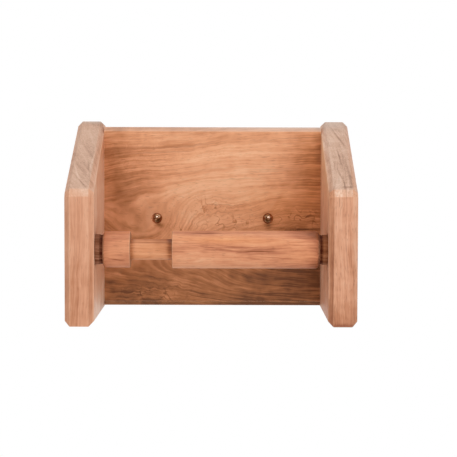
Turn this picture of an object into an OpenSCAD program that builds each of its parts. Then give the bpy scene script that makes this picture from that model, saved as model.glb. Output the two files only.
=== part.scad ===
// Toilet roll holder in oiled teak, screwed to a wall.
// Two shaped side boards carry a back board between them. A sprung roller spans the
// gap: its end pins sit in blind sockets in the side boards, and its cap is pushed
// into the tube against a spring to take the roller out.
// Millimetres. +Z is up, +X is to the right, the front faces -Y and the wall is Y = 0.
// The origin lies on the wall, halfway between the two wall screws.

/* [Overall] */
// Clear width between the side boards
gap_w = 127; // [116:1:150]
// Depth from the wall to the front edge
depth = 88.9; // [82:0.1:105]

/* [Side boards] */
// Thickness of a side board
side_t = 15.9; // [14:0.1:22]
// Height of a side board
side_h = 111.1; // [104:0.1:130]
// Height at which the slope would meet the front edge
nose_h = 73.5; // [64:0.1:88]
// Length of the level stretch at the top, by the wall
top_flat = 3; // [2:0.1:8]
// Chamfer along the edges of a side board
side_chamfer = 2.8; // [1:0.1:4]
// Length cut off each way at the corner between the slope and the front edge
nose_cut = 3; // [1:0.1:5]

/* [Back board] */
// Thickness of the back board
back_t = 12.7; // [11:0.1:18]
// Height that the back board stops short of the side boards, above and below
back_inset = 3.2; // [0.5:0.1:8]
// Chamfer along the back board's front edges
back_chamfer = 2.5; // [1:0.1:4]

/* [Roller] */
// Distance of the roller's axis behind the front edge
roller_setback = 14.2; // [12.5:0.1:18]
// Height of the roller's axis above the bottom of the side boards
roller_h = 41; // [32:0.5:48]
// Gap between a side board and the near end of the roller
end_gap = 4.3; // [2:0.1:6]
// Outer diameter of the tube
tube_d = 20.6; // [18:0.1:24]
// Solid length at the tube's closed end
tube_solid = 14.6; // [12:0.1:20]
// Outer diameter of the cap
cap_d = 19.8; // [18:0.1:24]
// Length of the cap
cap_len = 15; // [12:0.1:18]
// Diameter of the shaft
shaft_d = 11.4; // [10:0.1:13]
// Length of bare shaft at rest, which is how far the cap can be pushed in
travel = 22.8; // [16:0.1:28]
// Depth that the shaft is glued into the cap
shaft_tenon = 8; // [4:0.1:9]
// Chamfer round the ends of the tube and the cap
roller_arris = 0.6; // [0.2:0.1:1.5]

/* [End pins] */
// Diameter of an end pin
pin_d = 16.5; // [14:0.1:17]
// Length of an end pin inside its socket
pin_hold = 7; // [5:0.1:8]
// Chamfer at the tip of an end pin
pin_chamfer = 1; // [0.3:0.1:2]
// Diameter of the neck between an end pin and the roller
neck_d = 13.5; // [10:0.1:13.9]
// Length of that neck
neck_len = 1.2; // [0.4:0.1:1.8]
// Chamfer round the mouth of a socket
socket_chamfer = 0.9; // [0.3:0.1:2]
// Diameter of the tenon that joins an end pin to the roller
tenon_d = 8; // [5:0.1:9]
// Length of that tenon
tenon_len = 6; // [4:0.1:6]

/* [Spring] */
// Diameter of the spring's wire
wire_d = 1; // [0.8:0.1:1.2]
// Outer diameter of the spring
spring_d = 9.6; // [8:0.1:9.8]
// Number of curls
spring_curls = 12; // [9:1:14]
// Gap from curl to curl when the spring is shut
shut_gap = 0.17; // [0.1:0.01:0.3]

/* [Wall screws] */
// Distance between the two wall screws
wall_screw_gap = 65; // [50:1:90]
// Height of the wall screws above the bottom of the side boards
wall_screw_h = 54.6; // [50:0.1:62]
// Length under the head
wall_screw_len = 38; // [30:0.5:50]
// Outer diameter of the thread
wall_thread_d = 3.5; // [3:0.1:4.5]
// Diameter of the plain shank above the thread
wall_shank_d = 2.6; // [2:0.1:2.9]
// Diameter of the domed head
dome_d = 6.2; // [5.8:0.1:8]
// Height of the domed head
dome_h = 2.6; // [2:0.1:2.9]
// Length of each arm of the cross recess, end to end
recess_len = 3.2; // [2.4:0.1:3.6]
// Width of an arm of the cross recess
recess_w = 0.8; // [0.6:0.1:1]
// Depth of the cross recess
recess_depth = 1.3; // [0.8:0.1:1.5]

/* [Assembly screws and plugs] */
// Distance of an assembly screw from the end of the back board's height
joint_screw_inset = 21; // [15:0.5:30]
// Length under the head
joint_screw_len = 32; // [25:0.5:40]
// Outer diameter of the thread
joint_thread_d = 3.5; // [3:0.1:4]
// Diameter of the plain shank above the thread
joint_shank_d = 2.6; // [2:0.1:2.9]
// Diameter of the flat head
joint_head_d = 7; // [6:0.1:8.5]
// Thickness of the flat head
joint_head_t = 2; // [1.5:0.1:2.5]
// Diameter of the plug that hides the screw
plug_d = 9.5; // [9:0.1:11]
// Length of the plug
plug_len = 5; // [3.5:0.1:6]

/* [Fits] */
// Radial clearance of an end pin in its socket
socket_fit = 0.08; // [0.03:0.01:0.1]
// Space past the tip of an end pin
socket_play = 0.5; // [0.3:0.1:1]
// Radial clearance of the shaft in the tube
shaft_fit = 0.08; // [0.03:0.01:0.1]
// Radial clearance of glued and screwed pieces in their holes
glue_fit = 0.04; // [0.02:0.01:0.08]
// Space past the tip of a screw or a tenon
tip_play = 0.4; // [0.2:0.1:1]

/* [Hidden] */
$fn = 64;

// How far every cut runs past what it cuts
overrun = 1;

// Colours
teak = "#cf9163";
teak_roller = "#dba078";
teak_plug = "#b97a4c";
dark_wood = "#5e3a26";
brass = "#9a6a3c";
steel = "#9b9b98";

// Heights and depths that several pieces share
bottom_z = -wall_screw_h;
top_z = bottom_z + side_h;
nose_z = bottom_z + nose_h;
front_y = -depth;
inner_x = gap_w / 2;
outer_x = inner_x + side_t;
slope_angle = atan2(top_z - nose_z, depth - top_flat);
back_bottom_z = bottom_z + back_inset;
back_top_z = top_z - back_inset;

// The roller along its axis, from left to right
axis_y = front_y + roller_setback;
axis_z = bottom_z + roller_h;
cap_left_x = -inner_x + end_gap;
cap_right_x = cap_left_x + cap_len;
tube_left_x = cap_right_x + travel;
tube_right_x = inner_x - end_gap;
bore_end_x = tube_right_x - tube_solid;
socket_depth = pin_hold + socket_play;
socket_d = pin_d + 2 * socket_fit;

// The cap is short, so the tenon in it leaves a web before the shaft
cap_web = 0.6;
cap_tenon_len = min(tenon_len, cap_len - shaft_tenon - tip_play - cap_web);

// The spring fills what the shaft leaves of the tube's bore
spring_seat = 0.05;
shut_len = (spring_curls + 1) * (wire_d + shut_gap);
shaft_end_x = bore_end_x - shut_len - travel;
coil_start_x = shaft_end_x + spring_seat + wire_d / 2;
coil_len = bore_end_x - shaft_end_x - 2 * spring_seat - wire_d;
coil_r = (spring_d - wire_d) / 2;
closed_gap = 0.5;
end_pitch = wire_d + closed_gap;
free_pitch = (coil_len - 2 * end_pitch) / (spring_curls - 2);
rings_per_curl = 8;
wire_sides = 6;

// The assembly screws: where the head rests, how much of the shank lies in the
// side board, and how far the rest goes into the back board
seat_depth = plug_len + joint_head_t;
joint_plain_len = side_t - seat_depth;
pilot_len = joint_screw_len - joint_plain_len + tip_play;
joint_y = -back_t / 2;
joint_zs = [back_bottom_z + joint_screw_inset, back_top_z - joint_screw_inset];

// A screw's point: its length and its flat end, as shares of the thread's diameter
point_len_share = 1.6;
point_end_share = 0.12;

// Turns what stands along +Z so that it points along +X or along +Y
module along_x() rotate([0, 90, 0]) children();
module along_y() rotate([-90, 0, 0]) children();

// Draws a child that stands on the roller's axis, starting at the given place on it
module on_axis(x) translate([x, axis_y, axis_z]) along_x() children();

// Extrudes an outline of [y, z] points from X = 0 to the given thickness
module board(points, thickness)
    rotate([90, 0, 90]) linear_extrude(height = thickness) polygon(points);

// Outline of a side board as [y, z] points, seen from the right
side_outline = [
    [0, bottom_z],
    [front_y, bottom_z],
    [front_y, nose_z - nose_cut],
    [front_y + nose_cut * cos(slope_angle), nose_z + nose_cut * sin(slope_angle)],
    [-top_flat, top_z],
    [0, top_z]];

// Outline of the back board as [y, z] points
back_outline = [
    [0, back_bottom_z],
    [back_chamfer - back_t, back_bottom_z],
    [-back_t, back_bottom_z + back_chamfer],
    [-back_t, back_top_z - back_chamfer],
    [back_chamfer - back_t, back_top_z],
    [0, back_top_z]];

// Three-sided bar that bevels the edge from p to q of a board's face at X = 0.
// Seen from +X, the board lies to the right of the way from p to q.
module edge_bevel(p, q, size) {
    run = q - p;
    low = -overrun;
    high = size + overrun;
    translate([0, p[0], p[1]])
        rotate([atan2(run[1], run[0]), 0, 0])
            translate([0, -overrun, 0])
                rotate([-90, 0, 0])
                    linear_extrude(height = norm(run) + 2 * overrun)
                        polygon([[low, low], [high, low], [low, high]]);
}

// A side board standing between X = 0, its inner face, and X = side_t
module bevelled_side() {
    last = len(side_outline) - 2;
    difference() {
        board(side_outline, side_t);
        for (i = [0 : last]) {
            edge_bevel(side_outline[i], side_outline[i + 1], side_chamfer);
            translate([side_t, 0, 0])
                mirror([1, 0, 0])
                    edge_bevel(side_outline[i], side_outline[i + 1], side_chamfer);
        }
    }
}

// The right side board, with its socket and the two counterbored screw holes
module side_board() {
    difference() {
        translate([inner_x, 0, 0]) bevelled_side();
        on_axis(inner_x - overrun) cylinder(h = socket_depth + overrun, d = socket_d);
        on_axis(inner_x - overrun)
            cylinder(h = socket_chamfer + overrun,
                d1 = socket_d + 2 * (socket_chamfer + overrun), d2 = socket_d);
        for (z = joint_zs) {
            translate([inner_x - overrun, joint_y, z])
                along_x() cylinder(h = side_t + 2 * overrun, d = joint_thread_d + 2 * glue_fit);
            translate([outer_x - seat_depth, joint_y, z])
                along_x() cylinder(h = seat_depth + overrun, d = plug_d + 2 * glue_fit);
        }
    }
}

module left_side() color(teak) mirror([1, 0, 0]) side_board();
module right_side() color(teak) side_board();

module back_board() {
    color(teak)
        difference() {
            translate([-inner_x, 0, 0]) board(back_outline, gap_w);
            for (side = [-1, 1]) {
                translate([side * wall_screw_gap / 2, -back_t - overrun, 0])
                    along_y() cylinder(h = back_t + 2 * overrun, d = wall_thread_d + 2 * glue_fit);
                for (z = joint_zs)
                    translate([side * inner_x, joint_y, z])
                        rotate([0, -90 * side, 0])
                            translate([0, 0, -overrun])
                                cylinder(h = pilot_len + overrun, d = joint_thread_d + 2 * glue_fit);
            }
        }
}

// A turned bar with both ends chamfered, standing on its end
module turned_bar(length, d, chamfer) {
    rotate_extrude()
        polygon([[0, 0], [d / 2 - chamfer, 0], [d / 2, chamfer],
            [d / 2, length - chamfer], [d / 2 - chamfer, length], [0, length]]);
}

// The tube is bored from its left end, and takes the right end pin's tenon
module roller_tube() {
    color(teak_roller)
        difference() {
            on_axis(tube_left_x) turned_bar(tube_right_x - tube_left_x, tube_d, roller_arris);
            on_axis(tube_left_x - overrun)
                cylinder(h = bore_end_x - tube_left_x + overrun, d = shaft_d + 2 * shaft_fit);
            on_axis(tube_right_x - tenon_len - tip_play)
                cylinder(h = tenon_len + tip_play + overrun, d = tenon_d + 2 * glue_fit);
        }
}

// The cap takes the shaft on its right and the left end pin's tenon on its left
module plunger_cap() {
    color(teak_roller)
        difference() {
            on_axis(cap_left_x) turned_bar(cap_len, cap_d, roller_arris);
            on_axis(cap_right_x - shaft_tenon)
                cylinder(h = shaft_tenon + overrun, d = shaft_d + 2 * glue_fit);
            on_axis(cap_left_x - overrun)
                cylinder(h = cap_tenon_len + tip_play + overrun, d = tenon_d + 2 * glue_fit);
        }
}

module plunger_shaft() {
    start_x = cap_right_x - shaft_tenon;
    color(teak_roller)
        on_axis(start_x) turned_bar(shaft_end_x - start_x, shaft_d, roller_arris);
}

// An end pin standing on the roller's end face: a neck, then the pin itself.
// Its tenon reaches the given depth below the face.
module end_pin(tenon) {
    tip = end_gap + pin_hold;
    r = pin_d / 2;
    color(dark_wood)
        rotate_extrude()
            polygon([[0, -tenon], [tenon_d / 2, -tenon], [tenon_d / 2, 0],
                [neck_d / 2, 0], [neck_d / 2, neck_len], [r, neck_len],
                [r, tip - pin_chamfer], [r - pin_chamfer, tip], [0, tip]]);
}

module right_end_pin() on_axis(tube_right_x) end_pin(tenon_len);
module left_end_pin()
    translate([cap_left_x, axis_y, axis_z]) rotate([0, -90, 0]) end_pin(cap_tenon_len);

// Place along the axis of the spring's wire after the given number of curls:
// the first and the last curl lie close, and the others share the rest evenly
function coil_x(curls) =
    curls < 1 ? curls * end_pitch :
    curls < spring_curls - 1 ? end_pitch + (curls - 1) * free_pitch :
    end_pitch + (spring_curls - 2) * free_pitch + (curls - spring_curls + 1) * end_pitch;

// Centre of the wire at ring number i, about the roller's axis
function coil_centre(i) =
    let (turn = 360 * i / rings_per_curl)
    [coil_x(i / rings_per_curl), coil_r * cos(turn), coil_r * sin(turn)];

// Corner j of ring number i
function coil_corner(i, j) =
    let (turn = 360 * i / rings_per_curl,
        way = 360 * j / wire_sides,
        out = wire_d / 2 * cos(way))
    coil_centre(i) + [wire_d / 2 * sin(way), out * cos(turn), out * sin(turn)];

module spring() {
    rings = spring_curls * rings_per_curl;
    n = wire_sides;
    corners = [for (i = [0 : rings]) for (j = [0 : n - 1]) coil_corner(i, j)];
    walls = [for (i = [0 : rings - 1]) for (j = [0 : n - 1]) let (k = (j + 1) % n)
        each [[i * n + j, (i + 1) * n + k, (i + 1) * n + j], [i * n + j, i * n + k, (i + 1) * n + k]]];
    start_cap = [for (j = [1 : n - 2]) [0, j + 1, j]];
    end_cap = [for (j = [1 : n - 2]) [rings * n, rings * n + j, rings * n + j + 1]];
    gaps = [for (i = [0 : rings]) for (k = [i + rings_per_curl / 2 : rings])
        norm(coil_centre(k) - coil_centre(i)) - wire_d];
    echo(least_gap_of_the_spring_to_itself = min(gaps));
    color(steel)
        translate([coil_start_x, axis_y, axis_z])
            polyhedron(points = corners, faces = concat(walls, start_cap, end_cap), convexity = 4);
}

// A screw from the underside of its head along +Z: the plain shank, the threaded
// length as wide as the thread, and the point
module shank(length, plain_len, plain_d, thread_d) {
    point = thread_d * point_len_share;
    rotate_extrude()
        polygon([[0, 0], [plain_d / 2, 0], [plain_d / 2, plain_len], [thread_d / 2, plain_len],
            [thread_d / 2, length - point], [thread_d * point_end_share / 2, length], [0, length]]);
}

// Wall screw: a domed head with a cross recess, seated on the back board
module wall_screw(side) {
    dome_r = (pow(dome_d / 2, 2) + pow(dome_h, 2)) / (2 * dome_h);
    color(brass)
        translate([side * wall_screw_gap / 2, -back_t, 0])
            along_y() {
                shank(wall_screw_len, back_t, wall_shank_d, wall_thread_d);
                difference() {
                    intersection() {
                        translate([0, 0, dome_r - dome_h]) sphere(r = dome_r);
                        translate([0, 0, -dome_h]) cylinder(h = dome_h, d = dome_d);
                    }
                    translate([0, 0, -dome_h])
                        for (turn = [0, 90])
                            rotate([0, 0, turn])
                                cube([recess_len, recess_w, 2 * recess_depth], center = true);
                }
            }
}

module left_wall_screw() wall_screw(-1);
module right_wall_screw() wall_screw(1);

// Assembly screw, driven from outside through a side board into the back board
module joint_screw(side, z) {
    color(steel)
        translate([side * (outer_x - seat_depth), joint_y, z])
            rotate([0, -90 * side, 0]) {
                shank(joint_screw_len, joint_plain_len, joint_shank_d, joint_thread_d);
                translate([0, 0, -joint_head_t]) cylinder(h = joint_head_t, d = joint_head_d);
            }
}

// Plug over the head of an assembly screw, flush with the side board's outer face
module plug(side, z) {
    color(teak_plug)
        translate([side * (outer_x - plug_len), joint_y, z])
            rotate([0, 90 * side, 0]) cylinder(h = plug_len, d = plug_d);
}

module left_upper_screw() joint_screw(-1, joint_zs[1]);
module left_lower_screw() joint_screw(-1, joint_zs[0]);
module right_upper_screw() joint_screw(1, joint_zs[1]);
module right_lower_screw() joint_screw(1, joint_zs[0]);
module left_upper_plug() plug(-1, joint_zs[1]);
module left_lower_plug() plug(-1, joint_zs[0]);
module right_upper_plug() plug(1, joint_zs[1]);
module right_lower_plug() plug(1, joint_zs[0]);

left_side();
right_side();
back_board();
roller_tube();
plunger_cap();
plunger_shaft();
spring();
left_end_pin();
right_end_pin();
left_wall_screw();
right_wall_screw();
left_upper_screw();
left_lower_screw();
right_upper_screw();
right_lower_screw();
left_upper_plug();
left_lower_plug();
right_upper_plug();
right_lower_plug();
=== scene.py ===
import math
from functools import partial

import bmesh
import bpy
import numpy as np
from mathutils import Matrix, Vector


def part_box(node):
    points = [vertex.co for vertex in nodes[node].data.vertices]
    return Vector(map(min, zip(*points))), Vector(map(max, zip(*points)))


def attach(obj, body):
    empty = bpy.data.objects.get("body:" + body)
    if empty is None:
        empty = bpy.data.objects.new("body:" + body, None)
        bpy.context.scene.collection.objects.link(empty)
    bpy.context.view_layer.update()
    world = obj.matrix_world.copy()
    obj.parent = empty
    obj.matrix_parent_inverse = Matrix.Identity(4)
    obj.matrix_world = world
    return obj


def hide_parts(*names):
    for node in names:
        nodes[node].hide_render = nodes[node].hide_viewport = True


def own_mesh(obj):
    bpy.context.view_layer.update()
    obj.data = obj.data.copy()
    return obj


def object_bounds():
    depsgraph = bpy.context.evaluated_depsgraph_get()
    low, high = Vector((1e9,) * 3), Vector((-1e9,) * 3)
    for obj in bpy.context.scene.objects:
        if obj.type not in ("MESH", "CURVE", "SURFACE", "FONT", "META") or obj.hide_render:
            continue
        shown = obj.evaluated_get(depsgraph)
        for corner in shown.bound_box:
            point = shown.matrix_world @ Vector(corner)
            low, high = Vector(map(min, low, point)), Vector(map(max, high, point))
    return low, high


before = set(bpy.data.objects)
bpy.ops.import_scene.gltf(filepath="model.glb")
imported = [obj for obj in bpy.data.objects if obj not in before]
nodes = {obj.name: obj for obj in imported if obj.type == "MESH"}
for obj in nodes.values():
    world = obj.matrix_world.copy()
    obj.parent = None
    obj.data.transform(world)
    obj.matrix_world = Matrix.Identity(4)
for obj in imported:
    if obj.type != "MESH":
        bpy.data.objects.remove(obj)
cadLow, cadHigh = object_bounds()
mm = 0.001  # one millimetre, in Blender's metres


def linear(hexColour):  # an sRGB hex colour as linear RGBA
    parts = [int(hexColour[i:i + 2], 16) / 255 for i in (0, 2, 4)]
    return [c / 12.92 if c <= 0.04045 else ((c + 0.055) / 1.055) ** 2.4 for c in parts] + [1]


def addNode(tree, kind, inputs=None, stops=(), **settings):
    # one node with its settings, its values and links, and a Color Ramp's stops (place, hex colour)
    node = tree.nodes.new("ShaderNode" + kind)
    for key, value in settings.items():
        setattr(node, key, value)
    for key, value in (inputs or {}).items():
        if isinstance(value, bpy.types.NodeSocket):
            tree.links.new(value, node.inputs[key])
        else:
            node.inputs[key].default_value = value
    if stops:
        ramp = node.color_ramp.elements
        while len(ramp) < len(stops):
            ramp.new(0.5)
        for element, (place, colour) in zip(ramp, stops):
            element.position = place
            element.color = linear(colour)
    return node


def newMaterial(name):  # an empty node material and the function that adds nodes to it
    material = bpy.data.materials.new(name)
    material.use_nodes = True
    material.node_tree.nodes.clear()
    return material, partial(addNode, material.node_tree)


def hillSum(add, front, hills, start):
    # start + the sum of soft hills over the front, each (x, z, half length, half width, height, turn
    # in degrees): height * e^-(u^2 + v^2), with u and v the distances along and across the hill in
    # its own half sizes. front is the vector (x, z, 1), so each distance is one dot product.
    total = start
    for cx, cz, halfLong, halfWide, height, *turn in hills:
        angle = math.radians(sum(turn))  # a hill without a turn lies level
        c, s = math.cos(angle), math.sin(angle)
        longWay = (c / halfLong, s / halfLong, -(c * cx + s * cz) / halfLong)
        wideWay = (-s / halfWide, c / halfWide, (s * cx - c * cz) / halfWide)
        u = add("VectorMath", {0: front, 1: longWay}, operation="DOT_PRODUCT").outputs["Value"]
        v = add("VectorMath", {0: front, 1: wideWay}, operation="DOT_PRODUCT").outputs["Value"]
        squared = add("Math", {0: v, 1: v}, operation="MULTIPLY").outputs[0]
        squared = add("Math", {0: u, 1: u, 2: squared}, operation="MULTIPLY_ADD").outputs[0]
        hill = add("Math", {0: 1 / math.e, 1: squared}, operation="POWER").outputs[0]
        total = add("Math", {0: hill, 1: height, 2: total}, operation="MULTIPLY_ADD").outputs[0]
    return total


def weighted(add, parts, start):  # start + the sum of (value - 0.5) * weight
    total = start
    for value, weight in parts:
        shift = add("Math", {0: value, 1: 0.5}, operation="SUBTRACT").outputs[0]
        total = add("Math", {0: shift, 1: weight, 2: total}, operation="MULTIPLY_ADD").outputs[0]
    return total


masks = {  # Map Range's inputs 1 and 2: the value where a mask starts, and where it is whole
    "upward": {1: 0.45, 2: 0.75},  # height of the normal, on faces that look up
    "endGrain": {1: 0.35, 2: 0.85},  # normal along the fibres, on faces cut across them
    "noseCut": {1: 0.955, 2: 0.985},  # normal along the way that the short cut faces
    "seam": {1: 0.60, 2: 0.74},  # the upper tail of a noise
    "pore": {1: 0.61, 2: 0.72},
    "gnarl": {1: 0.055, 2: 0.0},  # how far a noise is from its middle
    "gnarlGap": {1: 0.40, 2: 0.60},  # a noise that breaks the gnarled lines up
    "woodEdge": {1: 0.99, 2: 0.93},  # flat normal along the rounded one, less than 1 near an edge
    "metalEdge": {1: 0.98, 2: 0.85},
}


# Lighter edges in the look's colour: wear, and on the turned pieces also painted highlight on the arrises.
def edgeWearAndGleam(add, look, mask):  # 0 on open faces, up to the look's wear where an edge turns
    flat = add("NewGeometry").outputs["Normal"]
    softened = add("Bevel", {"Radius": look["wearMm"] * mm}, samples=4).outputs[0]
    turn = add("VectorMath", {0: flat, 1: softened}, operation="DOT_PRODUCT").outputs["Value"]
    return add("MapRange", {0: turn, 4: look["wearAndGleamBy"]} | masks[mask]).outputs[0]


def wood(name, look):
    # Solid wood: growth rings are shells round a pith line and the fibres run along that line,
    # so faces along it show long streaks and cathedrals, and faces across it show arcs and pore ends.
    # All sizes are millimetres.
    material, add = newMaterial(name)
    place = add("TexCoord")
    point = add("VectorMath", {0: place.outputs["Object"], "Scale": 1 / mm}, operation="SCALE").outputs[0]
    parts = add("SeparateXYZ", {0: point}).outputs
    front = add("CombineXYZ", {0: parts["X"], 1: parts["Z"], 2: 1.0}).outputs[0]
    fibre = Vector(look["fibre"]).normalized()

    # a slow and a quick noise bend the wood, then each point is told by its place along the fibres,
    # its distance from the pith, which the lifts raise or lower, and its place sideways
    drifted = point
    curl = hillSum(add, front, look.get("curls", ()), look["curlBy"])
    for sizeMm, strength in ((look["wanderMm"], look["wanderBy"]), (look["curlMm"], curl)):
        drift = add("TexNoise", {"Vector": point, "Scale": 1 / sizeMm, "Detail": 2.0}).outputs["Color"]
        drift = add("VectorMath", {0: drift, 1: (0.5, 0.5, 0.5)}, operation="SUBTRACT").outputs[0]
        drift = add("VectorMath", {0: drift, "Scale": strength}, operation="SCALE").outputs[0]
        drifted = add("VectorMath", {0: drifted, 1: drift}, operation="ADD").outputs[0]
    away = add("VectorMath", {0: drifted, 1: look["pith"]}, operation="SUBTRACT").outputs[0]
    along = add("VectorMath", {0: away, 1: fibre}, operation="DOT_PRODUCT").outputs["Value"]
    across = add("VectorMath", {0: away, 1: fibre}, operation="CROSS_PRODUCT").outputs[0]
    depth = add("VectorMath", {0: across}, operation="LENGTH").outputs["Value"]
    depth = hillSum(add, front, look.get("lifts", ()), depth)
    side = add("VectorMath", {0: away, 1: look["side"]}, operation="DOT_PRODUCT").outputs["Value"]
    grainPlace = add("CombineXYZ", {0: along, 1: depth, 2: side}).outputs[0]

    layers = {}
    for kind, (alongMm, ringMm, sideMm, detail, rough) in look["grain"].items():
        finer = (1 / alongMm, 1 / ringMm, 1 / sideMm)
        scaled = add("VectorMath", {0: grainPlace, 1: finer}, operation="MULTIPLY").outputs[0]
        noise = {"Vector": scaled, "Scale": 1.0, "Detail": detail, "Roughness": rough}
        layers[kind] = add("TexNoise", noise).outputs["Fac"]

    # one tone, from 0, dark, to 1, pale: the grain, the shades over the front, and on faces that
    # look up the cracks and streaks of the end grain
    tone = weighted(add, [(layers[kind], look[kind]) for kind in look["toneLayers"]], look["tone"])
    tone = hillSum(add, front, look.get("shades", ()), tone)
    lying = add("SeparateXYZ", {0: place.outputs["Normal"]}).outputs["Z"]
    lying = add("MapRange", {0: lying} | masks["upward"], interpolation_type="SMOOTHSTEP").outputs[0]
    topTone = hillSum(add, front, look.get("topShades", ()), 0.0)
    tone = add("Math", {0: lying, 1: topTone, 2: tone}, operation="MULTIPLY_ADD").outputs[0]
    if "wrinkles" in look:  # gnarled grain: broken dark lines where a fine noise crosses its middle
        gnarlNoise = {"Vector": drifted, "Scale": 1 / look["gnarlMm"], "Detail": 1.5}
        gnarl = add("TexNoise", gnarlNoise).outputs["Fac"]
        gnarl = add("Math", {0: gnarl, 1: 0.5}, operation="SUBTRACT").outputs[0]
        gnarl = add("Math", {0: gnarl}, operation="ABSOLUTE").outputs[0]
        deep = hillSum(add, front, look["wrinkles"], 0.0)
        lines = {0: gnarl, 4: deep} | masks["gnarl"]
        lines = add("MapRange", lines, interpolation_type="SMOOTHSTEP").outputs[0]
        broken = {0: layers["figure"]} | masks["gnarlGap"]
        broken = add("MapRange", broken, interpolation_type="SMOOTHSTEP").outputs[0]
        darker = add("Math", {0: broken, 1: -look["gnarlDepth"]}, operation="MULTIPLY").outputs[0]
        tone = add("Math", {0: lines, 1: darker, 2: tone}, operation="MULTIPLY_ADD").outputs[0]
    # Painted light: faces that look the way of a short cut are made lighter by the look's share.
    for direction, shade in look.get("cuts", ()):  # short faces cut across the grain
        cut = add("VectorMath", {0: place.outputs["Normal"], 1: direction}, operation="DOT_PRODUCT")
        cut = add("MapRange", {0: cut.outputs["Value"]} | masks["noseCut"]).outputs[0]
        tone = add("Math", {0: cut, 1: shade, 2: tone}, operation="MULTIPLY_ADD").outputs[0]

    # the tone's colour, warmer in the golden places, and end grain's colours across the fibres, which on
    # the boards' slopes are partly painted light
    colour = add("ValToRGB", {0: tone}, look["colours"]).outputs["Color"]
    golden = hillSum(add, front, look.get("golden", ()), look["goldenBy"])
    golden = weighted(add, [(layers["bands"], look["goldenVary"])], golden)
    warmed = {0: golden, 6: colour, 7: linear(look["goldenColour"])}
    colour = add("Mix", warmed, data_type="RGBA", blend_type="MULTIPLY").outputs[2]
    facing = add("VectorMath", {0: place.outputs["Normal"], 1: fibre}, operation="DOT_PRODUCT")
    facing = add("Math", {0: facing.outputs["Value"]}, operation="ABSOLUTE").outputs[0]
    cutAcross = {0: facing} | masks["endGrain"]
    cutAcross = add("MapRange", cutAcross, interpolation_type="SMOOTHSTEP").outputs[0]
    endColour = add("ValToRGB", {0: tone}, look["endColours"]).outputs["Color"]
    colour = add("Mix", {0: cutAcross, 6: colour, 7: endColour}, data_type="RGBA").outputs[2]

    # dark seams and pore ends, dust and painted sheen on faces that look up, and edges that hands have
    # worn, on the turned pieces also painted highlight
    seams = add("MapRange", {0: layers["seams"], 4: look["seams"]} | masks["seam"]).outputs[0]
    pores = add("MapRange", {0: layers["pores"], 4: look["pores"]} | masks["pore"]).outputs[0]
    # Dust and painted sheen: faces that look up are mixed towards a pale grey, which partly stands for the
    # sheen of the light from above.
    dustAndSheen = hillSum(add, front, look.get("dustAndSheenHills", ()), look["dustAndSheen"])
    dustAndSheen = add("Math", {0: lying, 1: dustAndSheen}, operation="MULTIPLY").outputs[0]
    wearAndGleam = edgeWearAndGleam(add, look, "woodEdge")
    for share, layerColour in ((seams, "seamColour"), (pores, "poreColour"),
                               (dustAndSheen, "dustAndSheenColour"), (wearAndGleam, "wearAndGleamColour")):
        over = {0: share, 6: colour, 7: linear(look[layerColour])}
        colour = add("Mix", over, data_type="RGBA").outputs[2]

    # dark fibres and pores lie a little deep, and end grain drinks the oil, so it is duller
    rough = {0: cutAcross, 1: look["endRoughness"], 2: look["roughness"]}
    rough = add("Math", rough, operation="MULTIPLY_ADD").outputs[0]
    rough = weighted(add, [(layers[kind], weight) for kind, weight in look["roughVary"].items()], rough)
    relief = {"fibres": layers["fibres"], "rings": layers["rings"], "pores": pores}
    height = weighted(add, [(relief[kind], deepMm * mm) for kind, deepMm in look["reliefMm"].items()], 0.0)
    bump = add("Bump", {"Strength": 1.0, "Distance": 1.0, "Height": height}).outputs[0]
    finish = {"Base Color": colour, "Roughness": rough, "IOR": look["ior"], "Normal": bump,
              "Specular IOR Level": look["gloss"]}
    add("OutputMaterial", {0: add("BsdfPrincipled", finish).outputs[0]})
    return material


def metal(name, look):
    # A metal whose tone and polish drift in clouds and fine grit, rubbed along its edges
    material, add = newMaterial(name)
    place = add("TexCoord").outputs["Object"]
    cloudScale, gritScale = 1 / (look["cloudMm"] * mm), 1 / (look["gritMm"] * mm)
    clouds = add("TexNoise", {"Vector": place, "Scale": cloudScale, "Detail": 3.0}).outputs["Fac"]
    grit = add("TexNoise", {"Vector": place, "Scale": gritScale, "Detail": 2.0}).outputs["Fac"]
    parts = add("SeparateXYZ", {0: place}).outputs
    front = add("CombineXYZ", {0: parts["X"], 1: parts["Z"], 2: mm}).outputs[0]
    front = add("VectorMath", {0: front, "Scale": 1 / mm}, operation="SCALE").outputs[0]
    tone = weighted(add, [(clouds, 1.0)], look["tone"])
    tone = hillSum(add, front, look.get("shades", ()), tone)
    colour = add("ValToRGB", {0: tone}, look["colours"]).outputs["Color"]
    wearAndGleam = edgeWearAndGleam(add, look, "metalEdge")
    colour = add("Mix", {0: wearAndGleam, 6: colour, 7: linear(look["wearAndGleamColour"])}, data_type="RGBA").outputs[2]
    rough = weighted(add, [(clouds, look["cloudRough"]), (grit, look["gritRough"])], look["roughness"])
    height = weighted(add, [(grit, look["reliefMm"] * mm)], 0.0)
    bump = add("Bump", {"Strength": 1.0, "Distance": 1.0, "Height": height}).outputs[0]
    finish = {"Base Color": colour, "Metallic": 1.0, "Roughness": rough, "Normal": bump}
    add("OutputMaterial", {0: add("BsdfPrincipled", finish).outputs[0]})
    return material


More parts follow.
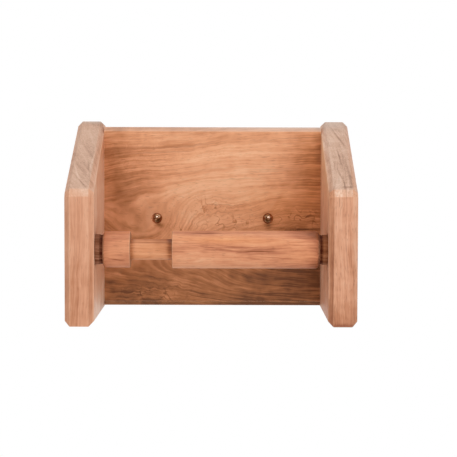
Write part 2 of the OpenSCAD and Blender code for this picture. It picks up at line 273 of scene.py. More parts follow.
# Each layer of the grain is (mm along the fibres, mm from ring to ring, mm sideways, noise detail,
# noise roughness). A pixel of the render is about 0.6 mm. Real fibres are hair-fine and teak's pores
# are 0.3 mm across, so both are drawn at least twice as coarse, or they wouldn't show.
teakGrain = {
    "rings": (110, 1.9, 50, 3.0, 0.6),
    "bands": (80, 8.55, 45, 1.0, 0.5),
    "fibres": (14, 0.75, 1.1, 2.0, 0.5),
    "patches": (55, 24, 24, 2.0, 0.5),
    "figure": (5, 7, 7, 1.0, 0.5),
    "seams": (75, 1.5, 16, 2.0, 0.5),
    "pores": (4.0, 0.6, 0.6, 1.0, 0.5),
}
sideTones = [(0.0, "96593c"), (0.3, "bd7f5c"), (0.55, "d59a79"), (0.8, "e2ae8e"), (1.0, "f1ccb2")]
backTones = [(0.0, "6c3f21"), (0.25, "a6693f"), (0.5, "ce8b60"), (0.75, "e6a57b"), (1.0, "f1ba91")]
turnedTones = [(0.0, "864c2e"), (0.3, "b97555"), (0.55, "d7926c"), (0.8, "e3a47e"), (1.0, "eebb98")]
# Painted light: these end grain colours are pale and greyish, as the boards' slopes look under the light
# from above.
teakEnds = [(0.0, "815b47"), (0.3, "ad846c"), (0.55, "cea58c"), (0.8, "ddbaa3"), (1.0, "e8cebc")]
turnedEnds = [(0.0, "704430"), (0.5, "b4805f"), (1.0, "d3a585")]
noseCut = (0, -0.837, 0.547)  # the way the short cut between a side board's slope and its front faces

# In a look, pith is a point of the pith line and fibre the line's direction, and rings to figure say
# how much each layer moves the tone. curls, lifts, shades, topShades, golden, wrinkles and the list
# for dust and painted sheen are hills over the front, each given as (x, z, half length, half width,
# height, turn).
#
# Teak boards, planed, sanded and oiled: a satin skin over brown streaks, with open pores, duller end
# grain whose paler colour is partly painted light, faces that look up paler and greyer, partly dust and
# partly painted sheen, and edges that have worn light
boardLook = {
    "grain": teakGrain, "wanderMm": 34.0, "wanderBy": 4.0, "curlMm": 6.0, "curlBy": 0.5,
    "toneLayers": ("rings", "bands", "fibres", "patches", "figure"),
    "rings": 0.55, "bands": 0.25, "fibres": 0.6, "patches": 0.45, "figure": 0.2, "tone": 0.56,
    "colours": sideTones, "endColours": teakEnds, "seamColour": "8a5234", "seams": 0.3,
    "poreColour": "7c4a30", "pores": 0.25, "wearAndGleamColour": "e9c3a2", "wearAndGleamBy": 0.3, "wearMm": 1.0,
    "goldenColour": "ffecc4", "goldenBy": 0.0, "goldenVary": 0.0, "dustAndSheenColour": "c9bdb3", "dustAndSheen": 0.08,
    "roughness": 0.46, "endRoughness": 0.3, "roughVary": {"fibres": 0.2, "patches": 0.15},
    "reliefMm": {"fibres": 0.05, "rings": 0.03, "pores": -0.10}, "ior": 1.47, "gloss": 0.3,
}
# Left side board, oiled teak from a calm part of the log: long, even streaks with few pores
leftLook = boardLook | {
    "pith": (110, 20, 0), "fibre": (0.02, 0.0, 1), "side": (0, 1, 0),
    "shades": [
        # Painted light and shade among these hills: the inner face lighter, most of all low down, and the
        # front darker towards the bottom and along the inner chamfer.
        (-62.3, 0, 1.6, 400, 0.55), (-62.3, -48, 1.6, 14, 0.4), (-70, -36, 20, 26, -0.2),
        (-72, 18.4, 12, 2.2, 0.08), (-65.6, -18, 1.4, 34, -0.1), (-63, 43, 2.5, 7, -0.2)],
    "topShades": [
        (-74.7, 29, 6, 0.5, 0.25, -62), (-70.5, 23, 4.5, 0.35, -0.3, -40),
        (-68.2, 30.5, 3, 0.5, -0.25, -75), (-66.6, 36, 9, 0.5, 0.2, 80), (-66, 55.4, 12, 2.0, -0.25)],
    # The upper edge turns paler and greyer, partly dust and partly painted sheen.
    "golden": [(-76, 37, 2.5, 7, 0.3), (-63, 43, 2, 8, 0.4)], "dustAndSheenHills": [(-66, 56.5, 14, 1.2, 0.5)],
    "cuts": [(noseCut, 0.12)], "rings": 0.48, "fibres": 0.5, "pores": 0.18, "seams": 0.22,
}
# Right side board, oiled teak with a livelier figure: dark streaks, and fine cracks in its slope
rightLook = boardLook | {
    "pith": (-140, -60, 0), "fibre": (-0.015, 0.03, 1), "side": (0, 1, 0),
    "shades": [
        # Painted light and shade among these hills: the inner face lighter, and the front darker towards
        # the bottom, along the inner chamfer and on the bottom chamfer.
        (62.3, 0, 1.6, 400, 0.45), (70, -54, 20, 12, -0.3), (75.2, -30, 3, 40, -0.12),
        (64.9, -18, 1.3, 34, -0.3), (65.9, -18, 0.3, 34, -0.3), (71.5, -54.3, 7, 1.3, -0.45)],
    "topShades": [
        (72.3, 48, 5.5, 0.6, -0.4, -58), (71.6, 37, 4.5, 0.4, -0.35, -80), (70.8, 27, 3.5, 0.4, -0.35, -70),
        (72.3, 22, 3.5, 0.35, -0.35, -88), (75.6, 28, 9, 0.9, -0.3, -82), (64.5, 35, 4, 0.5, -0.2, -85),
        (74.5, 21.2, 4.0, 0.4, -0.35)],
    # The upper edge turns paler and greyer, partly dust and partly painted sheen.
    "golden": [(63.8, 36, 2.2, 24, 0.6), (77.4, 28, 0.7, 9, 0.3)], "dustAndSheenHills": [(70, 56, 14, 4, 0.4)],
    "cuts": [(noseCut, 0.22)], "tone": 0.6, "rings": 0.62, "figure": 0.35, "pores": 0.4,
}
# Back board, oiled teak sawn close to the pith: sweeping cathedrals and a gnarled patch between the
# screws. A darker strip along the bottom is partly painted shadow of the roller; painted shade lies
# beside the side boards and under the screws, and its upper edge is paler and greyer, partly dust and
# partly painted sheen
backLook = boardLook | {
    "pith": (0, 1.28, -15.7), "fibre": (1, -0.268, 0), "side": (0, 0, 1),
    "grain": teakGrain | {"fibres": (14, 0.75, 14, 2.0, 0.5)},
    "lifts": [
        (-40, 0, 15, 17, -4.4), (7, -43, 28, 10, -8.7), (-1, -47, 37, 23, 12.3),
        (-36, -6, 25, 18, 17.8), (17, 5, 13, 10, 4.0), (-26, 44, 29, 21, 2.2)],
    "curlMm": 4.2,
    "curls": [(2, 3, 13, 8, 5.5), (-30, -44, 20, 8, 3.5), (44, -3, 20, 9, 2.5), (0, 40, 70, 14, 0.8)],
    "shades": [
        # Painted shade among these hills: the darker ones beside the side boards, below the roller, under
        # the two screws and along the bottom edge. The others vary the wood's tone.
        (14, 26, 44, 30, 0.3), (66, -10, 20, 40, -0.2), (0, -44, 200, 20, -0.3), (-57, 33, 8, 20, -0.2),
        (-44, -40, 26, 18, -0.12), (48, -34, 30, 14, -0.2), (40, 2, 30, 12, -0.1), (55, 30, 13, 17, -0.25),
        (63.5, 42, 3.5, 11, -0.25), (-14, 10, 16, 12, 0.1), (-52, 14, 10, 9, -0.13), (-13, 0, 9, 5, 0.12),
        (-62, 7, 6, 8, 0.13), (13, 17, 19, 6, 0.13), (38, 50, 20, 5, 0.12), (-44, 3, 13, 12, -0.13),
        (31, -47, 20, 5.5, -0.18), (46, -6, 14, 4, -0.13), (-52, -44, 12, 5, -0.13), (-22, -43, 8, 6, 0.14),
        (-31.0, -3.9, 2.4, 1.4, -0.45, -20), (32.6, -4.1, 2.4, 1.4, -0.45), (-26, 52.6, 34, 1.4, -0.3),
        (40, -50.4, 32, 1.2, -0.25), (46, -30.5, 14, 3, -0.12), (-52, -30.5, 12, 3, -0.1),
        (24, -6.2, 36, 1.4, -0.13), (50, -6.2, 12, 0.7, -0.25)],
    "golden": [(45, 6, 26, 12, 0.5), (60, 26, 9, 22, 0.6)],
    # The upper edge turns paler and greyer, partly dust and partly painted sheen.
    "dustAndSheen": 0.38, "dustAndSheenHills": [(44, 53.3, 50, 1.0, 0.3)],
    "wrinkles": [
        (0, 5, 12, 8, 0.6), (12, -3, 14, 4, 0.5), (50, 0, 13, 5, 0.5), (-18, -5, 7, 4, 0.5),
        (-32, -46, 20, 5, 0.4), (4, 37, 26, 8, 0.12), (-44, 36, 20, 12, 0.12)],
    "gnarlMm": 4.5, "gnarlDepth": 0.8, "colours": backTones, "gloss": 0.2,
    "rings": 0.66, "bands": 0.35, "fibres": 0.57, "figure": 0.3, "patches": 0.35,
}
# Tube, teak turned on a lathe, sanded and oiled: streaks run along it, paler in the middle than at
# its right end, where the darkest band is painted shade, and its sheen is duller than the boards'
rollerLook = boardLook | {
    "pith": (0, -42, -2), "fibre": (1, 0, 0.01), "side": (0, 0, 1), "wanderBy": 3.0,
    "shades": [
        (16, -11.6, 22, 1.3, -0.22, -7), (24.5, -13.7, 6, 0.3, -0.55, -1), (8, -13.0, 10, 0.5, -0.2, -8),
        (38, -17.5, 12, 0.5, -0.2, -4), (52, -5, 12, 3, -0.3), (50, -21.5, 12, 3.5, -0.3),
        (-3, -3.8, 9, 1.2, -0.3), (14, -9, 40, 2.5, 0.03), (2, -12.2, 11, 1.5, -0.2, -4),
        (-12, -17, 14, 4, 0.15), (5, -19, 42, 5, 0.25), (59.4, -13, 5, 60, -0.4)],
    "golden": [(8, -8.2, 34, 3.2, 0.4)], "goldenVary": 1.4,
    "rings": 0.9, "bands": 0.4, "fibres": 0.8, "tone": 0.55,
    # Painted highlight: the lighter edges of the turned pieces stand for light on their arrises as well as
    # wear.
    "colours": turnedTones, "endColours": turnedEnds, "wearAndGleamBy": 0.35, "gloss": 0.12, "dustAndSheen": 0.0,
}
# Cap, the same turned teak from a calmer piece: fainter rings and one fine dark streak, and its left end,
# by the pin, darker as painted shade
capLook = rollerLook | {
    "pith": (0, -50, 14), "fibre": (1, 0, 0.06), "tone": 0.46, "rings": 0.4, "fibres": 0.35,
    "shades": [(-51.5, -18.6, 4, 0.4, -0.4, -8), (-52, -4.5, 12, 2.0, -0.2), (-59.6, -13, 4, 60, -0.2)],
}
# Shaft, turned teak that slides in the tube: redder, with painted shadow where it goes into tube and cap
# and painted shade along its top
shaftLook = rollerLook | {
    "pith": (0, -60, 10), "tone": 0.58, "fibres": 0.55,
    "colours": [(0.0, "763f26"), (0.3, "ab6a44"), (0.55, "d28e65"), (0.8, "e2a37c"), (1.0, "ecb994")],
    "shades": [(-22.6, -13, 1.6, 60, -0.32), (-43.6, -13, 1.3, 60, -0.2), (-33, -7.6, 20, 2, -0.2)],
}
# Plugs cut across the grain and sanded flush: discs a little darker than the boards round them
plugLook = boardLook | {"pith": (0, 30, 0), "fibre": (0, 0.3, 1), "side": (1, 0, 0), "tone": 0.5}
# End pins, hardwood stained dark and worn to a dull sheen: brown streaks show through the stain, and the
# dark band beside the roller's end is painted shadow
darkLook = rollerLook | {
    "pith": (0, -50, -40),
    "colours": [(0.0, "421506"), (0.35, "7f4e36"), (0.65, "a7745b"), (1.0, "c49f8a")],
    "endColours": [(0.0, "2a0d04"), (0.5, "5a2a14"), (1.0, "7c4a30")], "seamColour": "2f130a",
    "poreColour": "281109", "tone": 0.52, "rings": 1.4, "fibres": 0.5, "gloss": 0.03, "wearAndGleamBy": 0.0,
    "shades": [(-59.9, -13, 0.8, 90, -0.35), (59.9, -13, 0.8, 90, -0.5), (62.8, -13, 2.5, 90, -0.12)],
    "golden": [(62, -13, 4, 90, 0.6)],
}
# Wall screws, brass with a polished dome whose dark brown is partly patina and partly painted
# reflection. Painted reflection darkens it round the cross, beside it and at the top, and the bright
# spot above the cross is a painted highlight. Its scratches are finer than a pixel, and the grit is
# drawn as coarse as 0.15 mm.
bronzeLook = {
    "colours": [(0.0, "3c1d0a"), (0.3, "63391c"), (0.55, "946e52"), (0.8, "b89478"), (1.0, "fde2cc")],
    "shades": [
        # The bright hills are painted highlights, the dark ones painted reflection.
        (-32.1, 0.8, 0.8, 0.42, 0.8, -18), (-32.1, -0.4, 2.1, 2.0, -0.45), (-31.2, -1.2, 1.5, 1.3, -0.3),
        (-32.5, 2.2, 1.8, 0.7, -0.35), (32.95, 0.8, 0.95, 0.5, 0.9, 15), (32.3, -0.4, 2.1, 2.0, -0.45),
        (31.6, -0.9, 1.3, 1.5, -0.3), (32.5, 2.2, 1.8, 0.7, -0.35)],
    "wearAndGleamColour": "a06a42", "wearAndGleamBy": 0.2, "wearMm": 0.15, "tone": 0.82, "cloudMm": 2.5, "gritMm": 0.15,
    "roughness": 0.22, "cloudRough": 0.3, "gritRough": 0.15, "reliefMm": 0.006,
}
# Spring and assembly screws, plated steel: an even pale grey with brighter edges
steelLook = {
    "colours": [(0.3, "8d8d8a"), (0.6, "b4b4b0")],
    "wearAndGleamColour": "d0d0cc", "wearAndGleamBy": 0.5, "wearMm": 0.15, "tone": 0.5, "cloudMm": 3.0, "gritMm": 0.2,
    "roughness": 0.34, "cloudRough": 0.3, "gritRough": 0.15, "reliefMm": 0.006,
}

materials = {
    "leftTeak": wood("oiledTeakLeftSide", leftLook), "rightTeak": wood("oiledTeakRightSide", rightLook),
    "backTeak": wood("oiledTeakBack", backLook), "tubeTeak": wood("turnedTeakTube", rollerLook),
    "capTeak": wood("turnedTeakCap", capLook), "shaftTeak": wood("turnedTeakShaft", shaftLook),
    "plugTeak": wood("crossGrainTeakPlug", plugLook), "darkWood": wood("stainedHardwoodPin", darkLook),
    "bronze": metal("patinaAndPaintedReflectionBrass", bronzeLook), "steel": metal("platedSteel", steelLook),
}
print("materials:", len(materials))


def addPiece(name, mesh, material, body, node):  # a finished mesh, shown instead of a solid
    piece = bpy.data.objects.new(name, mesh)
    bpy.context.scene.collection.objects.link(piece)
    mesh.materials.append(material)
    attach(piece, body)
    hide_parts(node)
    return piece


boards = {  # millimetres and degrees
    "arris": 0.35, "segments": 2, "sharpAngle": 20,
    "mergeDistance": 0.002, "flatAngle": 0.5,  # to join the solid's triangles again
}


def softenedBoard(name, node, material):
    # The board's own solid with its triangles joined into flat faces. Each edge sharper than
    # sharpAngle becomes an arc as wide as the arris, cut in a few equal turns.
    build = bmesh.new()
    build.from_mesh(nodes[node].data)
    bmesh.ops.remove_doubles(build, verts=build.verts, dist=boards["mergeDistance"] * mm)
    bmesh.ops.dissolve_limit(build, angle_limit=math.radians(boards["flatAngle"]), verts=build.verts,
                             edges=build.edges)
    mesh = bpy.data.meshes.new(name)
    build.to_mesh(mesh)
    build.free()
    mesh.shade_smooth()
    piece = addPiece(name, mesh, material, "frame", node)
    arris = piece.modifiers.new("arris", "BEVEL")
    arris.width = boards["arris"] * mm
    arris.segments = boards["segments"]
    arris.limit_method = "ANGLE"
    arris.angle_limit = math.radians(boards["sharpAngle"])
    arris.harden_normals = True


softenedBoard("leftSideBoard", "left_side", materials["leftTeak"])
softenedBoard("rightSideBoard", "right_side", materials["rightTeak"])
softenedBoard("backBoard", "back_board", materials["backTeak"])
print("boards done")

lathe = {"filletPoints": 6, "smoothAngle": 35}  # for every turned piece


def rounded(corners):
    # Corners are (along, radius, fillet). With h half the angle between a corner's two lines, its arc
    # starts and ends fillet / tan h from the corner, round a centre fillet / sin h away from it.
    points = []
    last = len(corners) - 1
    for i, (s, r, fillet) in enumerate(corners):
        here = np.array([s, r], float)
        if i in (0, last) or fillet == 0:
            points.append(here[None])
            continue
        back = np.array(corners[i - 1][:2], float) - here
        on = np.array(corners[i + 1][:2], float) - here
        back, on = back / np.linalg.norm(back), on / np.linalg.norm(on)
        half = math.acos(np.clip(back @ on, -1, 1)) / 2
        reach = fillet / math.tan(half)
        centre = here + (back + on) / np.linalg.norm(back + on) * fillet / math.sin(half)
        start, end = here + back * reach - centre, here + on * reach - centre
        share = np.linspace(0, 1, lathe["filletPoints"])[:, None]
        sweep = math.pi - 2 * half
        arc = (np.sin((1 - share) * sweep) * start + np.sin(share * sweep) * end) / math.sin(sweep)
        points.append(centre + arc)
    return np.concatenate(points)


def closedShell(name, rings, startPole, endPole):
    # rings is (n, m, 3): m points round each of n rings. Point j of ring i and its neighbours j + 1
    # and i + 1 make a quad, and a fan of m triangles to a pole point closes each end.
    n, m = rings.shape[:2]
    points = np.concatenate([rings.reshape(-1, 3), [startPole, endPole]])
    i, j = np.meshgrid(np.arange(n - 1), np.arange(m), indexing="ij")
    k = (j + 1) % m
    quads = np.stack([i * m + j, i * m + k, (i + 1) * m + k, (i + 1) * m + j], -1).reshape(-1, 4)
    j = np.arange(m)
    k = (j + 1) % m
    startFan = np.stack([np.full(m, n * m), k, j], -1)
    endFan = np.stack([np.full(m, n * m + 1), (n - 1) * m + j, (n - 1) * m + k], -1)
    mesh = bpy.data.meshes.new(name)
    mesh.vertices.add(len(points))
    mesh.vertices.foreach_set("co", (points * mm).astype(np.float32).ravel())
    corners = np.concatenate([quads.ravel(), startFan.ravel(), endFan.ravel()])
    sizes = np.concatenate([np.full(len(quads), 4), np.full(2 * m, 3)])
    mesh.loops.add(len(corners))
    mesh.loops.foreach_set("vertex_index", corners.astype(np.int32))
    mesh.polygons.add(len(sizes))
    mesh.polygons.foreach_set("loop_start", (np.cumsum(sizes) - sizes).astype(np.int32))
    mesh.update(calc_edges=True)
    mesh.validate()
    build = bmesh.new()
    build.from_mesh(mesh)
    bmesh.ops.recalc_face_normals(build, faces=build.faces)
    build.to_mesh(mesh)
    build.free()
    mesh.shade_smooth()
    mesh.set_sharp_from_angle(angle=math.radians(lathe["smoothAngle"]))
    return mesh


def turned(name, profile, start, way, sides, shape=None):
    # A profile of (s, r) points turned about the level line from start along way, at angles a:
    # start + s * way + r * (cos a * right + sin a * up). The profile's two ends lie on the line.
    # shape may move a point by its place: (s, r, a) -> new s and r.
    start, way, up = np.array(start, float), np.array(way, float), np.array([0, 0, 1.0])
    right = np.cross(way, up)
    along, radius = profile[1:-1, 0][:, None], profile[1:-1, 1][:, None]
    angle = np.linspace(0, 2 * np.pi, sides, endpoint=False)[None]
    along, radius = np.broadcast_arrays(along, radius + 0 * angle)
    if shape:
        along, radius = shape(along, radius, angle)
    outward = np.cos(angle)[..., None] * right + np.sin(angle)[..., None] * up
    rings = start + along[..., None] * way + radius[..., None] * outward
    return closedShell(name, rings, start + profile[0, 0] * way, start + profile[-1, 0] * way)


def boxOf(node):  # a solid's box in millimetres
    low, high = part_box(node)
    return np.array(low) / mm, np.array(high) / mm


roller = {  # millimetres: holes across, depths from the near end, and the radius of each sanded edge
    "bore": 11.56, "boreArris": 0.5, "solidEnd": 14.6, "tenonHole": 8.08, "tenonDepth": 6.4,
    "shaftHole": 11.48, "shaftDepth": 8.0, "capTenonDepth": 6.4, "tubeEndArris": 2.6, "capEndArris": 1.9,
    "arris": 0.5, "hiddenArris": 0.3, "shaftArris": 0.6, "sides": 128,
}
tubeLow, tubeHigh = boxOf("roller_tube")
axis = (tubeLow + tubeHigh) / 2
tubeLeft, tubeRight = tubeLow[0], tubeHigh[0]
tubeR = (tubeHigh[2] - tubeLow[2]) / 2


def onAxis(x):  # a point on the roller's axis
    return (x, axis[1], axis[2])


hidden = roller["hiddenArris"]
tubeLen = tubeRight - tubeLeft
boreLen, boreR = tubeLen - roller["solidEnd"], roller["bore"] / 2
tenonR, tenonFloor = roller["tenonHole"] / 2, tubeLen - roller["tenonDepth"]
tubeProfile = rounded([
    (boreLen, 0, 0), (boreLen, boreR, hidden), (0, boreR, roller["boreArris"]), (0, tubeR, roller["arris"]),
    (tubeLen, tubeR, roller["tubeEndArris"]), (tubeLen, tenonR, hidden), (tenonFloor, tenonR, hidden),
    (tenonFloor, 0, 0)])
mesh = turned("rollerTube", tubeProfile, onAxis(tubeLeft), (1, 0, 0), roller["sides"])
addPiece("rollerTube", mesh, materials["tubeTeak"], "roller", "roller_tube")

capLow, capHigh = boxOf("plunger_cap")
capLen, capR = capHigh[0] - capLow[0], (capHigh[2] - capLow[2]) / 2
capTenon, holeR, holeFloor = roller["capTenonDepth"], roller["shaftHole"] / 2, capLen - roller["shaftDepth"]
capProfile = rounded([
    (capTenon, 0, 0), (capTenon, tenonR, hidden), (0, tenonR, hidden), (0, capR, roller["capEndArris"]),
    (capLen, capR, roller["arris"]), (capLen, holeR, hidden), (holeFloor, holeR, hidden),
    (holeFloor, 0, 0)])
mesh = turned("rollerCap", capProfile, onAxis(capLow[0]), (1, 0, 0), roller["sides"])
addPiece("rollerCap", mesh, materials["capTeak"], "plunger", "plunger_cap")

shaftLow, shaftHigh = boxOf("plunger_shaft")
shaftLen, shaftR = shaftHigh[0] - shaftLow[0], (shaftHigh[2] - shaftLow[2]) / 2
shaftArris = roller["shaftArris"]
shaftProfile = rounded([
    (0, 0, 0), (0, shaftR, shaftArris), (shaftLen, shaftR, shaftArris), (shaftLen, 0, 0)])
mesh = turned("rollerShaft", shaftProfile, onAxis(shaftLow[0]), (1, 0, 0), roller["sides"])
addPiece("rollerShaft", mesh, materials["shaftTeak"], "plunger", "plunger_shaft")
print("roller done")

pin = {  # millimetres: shown is the bare length, hold the length in the socket, tip the chamfer there
    "tenonR": 4.0, "tenonArris": 0.3, "neckR": 7.95, "neckLen": 1.6, "neckArris": 0.1,
    "shoulderArris": 0.15, "shown": 4.3, "hold": 7.0, "tip": 1.0, "tipArris": 0.3, "sides": 96,
}
for sideName, body, face, way in (("left", "plunger", capLow[0], -1), ("right", "roller", tubeRight, 1)):
    low, high = boxOf(sideName + "_end_pin")
    pinR = (high[2] - low[2]) / 2
    tip = pin["shown"] + pin["hold"]
    tenonLen = (high[0] - low[0]) - tip
    pinProfile = rounded([
        (-tenonLen, 0, 0), (-tenonLen, pin["tenonR"], pin["tenonArris"]), (0, pin["tenonR"], 0),
        (0, pin["neckR"], 0), (pin["neckLen"], pin["neckR"], pin["neckArris"]),
        (pin["neckLen"], pinR, pin["shoulderArris"]), (tip - pin["tip"], pinR, pin["tipArris"]),
        (tip, pinR - pin["tip"], pin["tipArris"]), (tip, 0, 0)])
    mesh = turned(sideName + "EndPin", pinProfile, onAxis(face), (way, 0, 0), pin["sides"])
    addPiece(sideName + "EndPin", mesh, materials["darkWood"], body, sideName + "_end_pin")
print("end pins done")

spring = {"wire": 1.0, "curls": 12, "endPitch": 1.5, "ringsPerCurl": 32, "wireSides": 14}  # millimetres
springLow, springHigh = boxOf("spring")


def springMesh(name):
    # After c curls the wire's centre is at (along(c), R sin 2 pi c, -R cos 2 pi c) from the axis's start.
    # along rises evenly, but the first and the last curl lie close. The wire is a circle round
    # that centre, in the plane of the axis and the outward direction.
    wireR, curlCount = spring["wire"] / 2, spring["curls"]
    coilR = (springHigh[1] - springLow[1]) / 2 - wireR
    length = springHigh[0] - springLow[0] - 2 * wireR
    curls = np.linspace(0, curlCount, curlCount * spring["ringsPerCurl"] + 1)
    stops = [0, 1, curlCount - 1, curlCount]
    along = np.interp(curls, stops, [0, spring["endPitch"], length - spring["endPitch"], length])
    turn = 2 * np.pi * curls
    outward = np.stack([np.zeros_like(turn), np.sin(turn), -np.cos(turn)], -1)
    centre = np.array(onAxis(springLow[0] + wireR)) + coilR * outward
    centre[:, 0] += along
    angle = np.linspace(0, 2 * np.pi, spring["wireSides"], endpoint=False)[None, :, None]
    circle = np.cos(angle) * outward[:, None] + np.sin(angle) * np.array([1.0, 0, 0])
    return closedShell(name, centre[:, None] + wireR * circle, centre[0], centre[-1])


mesh = springMesh("returnSpring")
piece = addPiece("returnSpring", mesh, materials["steel"], "roller", "spring")
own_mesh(piece)
print("spring done")

domeScrew = {  # millimetres, and degrees for the turn of the cross
    "headR": 3.1, "headH": 2.6, "domed": True,
    "armLen": 1.3, "armWidth": 0.3, "recess": 0.9, "recessTurn": 42,
    "length": 38.0, "plain": 12.7, "plainR": 1.3, "point": 5.6,
    "threadR": 1.75, "rootR": 1.25, "pitch": 1.5, "sides": 96,
}
jointScrew = {
    "headR": 3.5, "headH": 2.0, "domed": False,
    "armLen": 1.7, "armWidth": 0.42, "recess": 1.1, "recessTurn": 20,
    "length": 32.0, "plain": 8.9, "plainR": 1.3, "point": 5.6,
    "threadR": 1.75, "rootR": 1.25, "pitch": 1.5, "sides": 48,
}
screwCut = {  # what both kinds share
    "headPoints": 34, "pointsPerPitch": 8,  # of the profile, over the head and for each pitch
    "rim": 0.3, "armSideFade": 0.12, "armEndFade": 0.2,  # millimetres, on the head
    "recessBowl": 0.35, "threadHalfWidth": 0.28, "pointLeast": 0.08,  # shares of depth, pitch, radius
    "neckGap": 0.01, "endGap": 0.02,  # millimetres that keep two points of the profile apart
}
plug = {"innerArris": 0.3, "faceArris": 0.2, "sides": 64}


def screwMesh(name, size, start, way):
    # Pole at the top of the head, out over it, under it, then down the shank to the point. A dome is
    # a sphere through the head's rim and top. The thread's height falls evenly on both sides of a
    # ridge where s / pitch - a / 2 pi is a whole number and a half. The recess pushes the top inwards.
    headR, headH = size["headR"], size["headH"]
    r = np.linspace(0, headR, screwCut["headPoints"])[1:]
    topCount = len(r)
    if size["domed"]:
        domeR = (headR ** 2 + headH ** 2) / (2 * headH)
        top = -headH + domeR - np.sqrt(domeR ** 2 - r ** 2)
    else:
        rim = np.clip((r - headR) / screwCut["rim"] + 1, 0, 1)
        top = np.append(-headH + screwCut["rim"] * rim ** 2, 0.0)
        r = np.append(r, headR)
    step = size["pitch"] / screwCut["pointsPerPitch"]
    shank = np.arange(size["plain"], size["length"] - screwCut["endGap"], step)
    plainEnd = size["plain"] - screwCut["neckGap"]
    profileAlong = np.concatenate([[-headH], top, [0.0, plainEnd], shank, [size["length"]]])
    profileR = np.concatenate([[0], r, [size["plainR"]] * 2, np.full(len(shank), size["threadR"]), [0]])

    def shape(s, radius, angle):
        turn = angle + math.radians(size["recessTurn"])
        u, v = np.abs(radius * np.cos(turn)), np.abs(radius * np.sin(turn))

        def arm(a, b):  # 1 inside one arm of the cross, falling to 0 over its sides and its end
            inWidth = np.clip((size["armWidth"] - b) / screwCut["armSideFade"] + 0.5, 0, 1)
            return inWidth * np.clip((size["armLen"] - a) / screwCut["armEndFade"] + 0.5, 0, 1)

        inCross = np.maximum(arm(u, v), arm(v, u))
        isTop = (np.arange(s.shape[0]) < topCount)[:, None]
        bowl = 1 - screwCut["recessBowl"] * (radius / size["armLen"]) ** 2
        recessFloor = -headH + size["recess"] * bowl
        s = np.where(isTop, s + inCross * np.maximum(recessFloor - s, 0), s)
        phase = (s / size["pitch"] - angle / (2 * np.pi)) % 1
        ridge = np.clip(1 - np.abs(phase - 0.5) / screwCut["threadHalfWidth"], 0, 1)
        taper = np.clip((size["length"] - s) / size["point"], screwCut["pointLeast"], 1)
        threaded = (size["rootR"] + (size["threadR"] - size["rootR"]) * ridge) * taper
        return s, np.where(s >= size["plain"], threaded, radius)

    return turned(name, np.stack([profileAlong, profileR], -1), start, way, size["sides"], shape)


for sideName, way in (("left", 1), ("right", -1)):
    node = sideName + "_wall_screw"
    name = sideName + "WallScrew"
    low, high = boxOf(node)
    start = ((low[0] + high[0]) / 2, low[1] + domeScrew["headH"], (low[2] + high[2]) / 2)
    mesh = screwMesh(name, domeScrew, start, (0, 1, 0))
    addPiece(name, mesh, materials["bronze"], "frame", node)
    for level in ("upper", "lower"):
        node = f"{sideName}_{level}_screw"
        name = sideName + level.capitalize() + "Screw"
        low, high = boxOf(node)
        headX = low[0] if way > 0 else high[0]
        start = (headX + way * jointScrew["headH"], (low[1] + high[1]) / 2, (low[2] + high[2]) / 2)
        mesh = screwMesh(name, jointScrew, start, (way, 0, 0))
        addPiece(name, mesh, materials["steel"], "frame", node)
        node = f"{sideName}_{level}_plug"
        name = sideName + level.capitalize() + "Plug"
        low, high = boxOf(node)
        plugR, plugLen = (high[2] - low[2]) / 2, high[0] - low[0]
        plugProfile = rounded([
            (0, 0, 0), (0, plugR, plug["innerArris"]), (plugLen, plugR, plug["faceArris"]),
            (plugLen, 0, 0)])
        start = (high[0] if way > 0 else low[0], (low[1] + high[1]) / 2, (low[2] + high[2]) / 2)
        mesh = turned(name, plugProfile, start, (-way, 0, 0), plug["sides"])
        addPiece(name, mesh, materials["plugTeak"], "frame", node)
print("screws and plugs done")

studio = {  # metres; the floor's fade is measured from the origin, level
    "floorDrop": 0.66, "floorSize": 4.8, "floorTones": [(0.0, "e9e8e5"), (1.0, "f4f3f1")],
    "cloudsPerMetre": 3.0, "floorRoughness": 0.8, "fadeFrom": 0.5, "fadeTo": 1.4, "ambient": 0.45,
    "aim": (0, -0.03, 0),
}
softboxes = [  # name, place and size in metres, power in watts
    ("frontSoftbox", (0.4, -1.6, 0.1), (6.5, 1.7), 35.0),
    ("topSoftbox", (0.0, 0.1, 1.5), (0.9, 0.9), 8.0),
    ("frontLamp", (0.0, -1.3, 1.12), (0.6, 0.38), 1.5),
]


def seenDirectly(add):  # 1 for rays from the camera or off glossy and clear surfaces, otherwise 0
    path = add("LightPath").outputs
    seen = add("Math", {0: path["Is Camera Ray"], 1: path["Is Glossy Ray"]}, operation="MAXIMUM").outputs[0]
    return add("Math", {0: seen, 1: path["Is Transmission Ray"]}, operation="MAXIMUM").outputs[0]


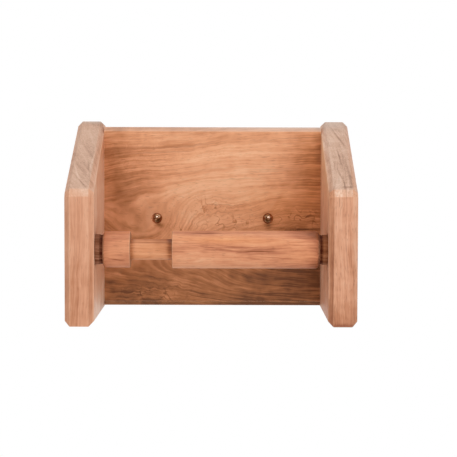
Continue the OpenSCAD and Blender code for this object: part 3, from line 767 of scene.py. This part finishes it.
def makeFloor():
    # four corners on a level square below the holder
    low = cadLow[2] - studio["floorDrop"]
    half = studio["floorSize"] / 2
    mesh = bpy.data.meshes.new("paleFloor")
    corners = [(-half, -half, low), (half, -half, low), (half, half, low), (-half, half, low)]
    mesh.from_pydata(corners, [], [(0, 1, 2, 3)])
    floor = bpy.data.objects.new("paleFloor", mesh)
    bpy.context.scene.collection.objects.link(floor)
    # Matt painted floor: pale, with wide faint clouds and no gloss. Near the holder it shows the
    # shadow, and further out it fades into the white background.
    material, add = newMaterial("paleFloor")
    place = add("TexCoord").outputs["Object"]
    noise = {"Vector": place, "Scale": studio["cloudsPerMetre"], "Detail": 2.0}
    clouds = add("TexNoise", noise).outputs["Fac"]
    colour = add("ValToRGB", {0: clouds}, studio["floorTones"]).outputs["Color"]
    shader = add("BsdfPrincipled", {"Base Color": colour, "Roughness": studio["floorRoughness"]}).outputs[0]
    flatPlace = add("VectorMath", {0: place, 1: (1.0, 1.0, 0.0)}, operation="MULTIPLY").outputs[0]
    away = add("VectorMath", {0: flatPlace}, operation="LENGTH").outputs["Value"]
    fade = add("MapRange", {0: away, 1: studio["fadeFrom"], 2: studio["fadeTo"], 4: seenDirectly(add)},
               interpolation_type="SMOOTHSTEP").outputs[0]
    white = add("Emission", {"Color": (1, 1, 1, 1), "Strength": 1.0}).outputs[0]
    shader = add("MixShader", {0: fade, 1: shader, 2: white})
    add("OutputMaterial", {0: shader.outputs[0]})
    mesh.materials.append(material)


def makeWorld():  # white where the camera, gloss and glass look, softer as a light
    world = bpy.data.worlds.new("studio")
    bpy.context.scene.world = world
    world.use_nodes = True
    tree = world.node_tree
    tree.nodes.clear()
    add = partial(addNode, tree)
    strength = add("MapRange", {0: seenDirectly(add), 3: studio["ambient"], 4: 1.0}).outputs[0]
    background = add("Background", {"Color": (1, 1, 1, 1), "Strength": strength})
    add("OutputWorld", {0: background.outputs[0]})


def addSoftbox(name, place, size, power):  # a lamp with a soft rectangle of light, aimed at the holder
    light = bpy.data.lights.new(name, "AREA")
    light.shape = "RECTANGLE"
    light.size, light.size_y = size
    light.energy = power
    lamp = bpy.data.objects.new(name, light)
    bpy.context.scene.collection.objects.link(lamp)
    lamp.location = place
    lamp.rotation_euler = (Vector(studio["aim"]) - Vector(place)).to_track_quat("-Z", "Y").to_euler()


makeFloor()
makeWorld()
for softbox in softboxes:
    addSoftbox(*softbox)
print("studio done")

# place in millimetres, turns in radians, focal length and image in pixels, the sensor in millimetres
camera = {
    "place": (8.29, -948.4, 53.62), "yaw": 0.0012, "pitch": -0.0636, "roll": -0.0028,
    "focalPixels": 1598.3, "imagePixels": 457, "sensor": 36.0, "clip": (0.05, 20.0),
}


def makeCamera():
    data = bpy.data.cameras.new("camera")
    data.sensor_width = camera["sensor"]
    data.lens = camera["focalPixels"] * camera["sensor"] / camera["imagePixels"]
    data.clip_start, data.clip_end = camera["clip"]
    eye = bpy.data.objects.new("camera", data)
    bpy.context.scene.collection.objects.link(eye)
    yaw, pitch, roll = camera["yaw"], camera["pitch"], camera["roll"]
    ahead = Vector((math.sin(yaw) * math.cos(pitch), math.cos(yaw) * math.cos(pitch), math.sin(pitch)))
    right = Vector((math.cos(yaw), -math.sin(yaw), 0))
    up = right.cross(ahead)
    right, up = right * math.cos(roll) - up * math.sin(roll), right * math.sin(roll) + up * math.cos(roll)
    turn = Matrix((right, up, -ahead)).transposed().to_4x4()
    eye.matrix_world = Matrix.Translation(Vector(camera["place"]) * mm) @ turn
    bpy.context.scene.camera = eye


makeCamera()
bpy.context.scene.view_settings.view_transform = "Standard"
print("camera done")
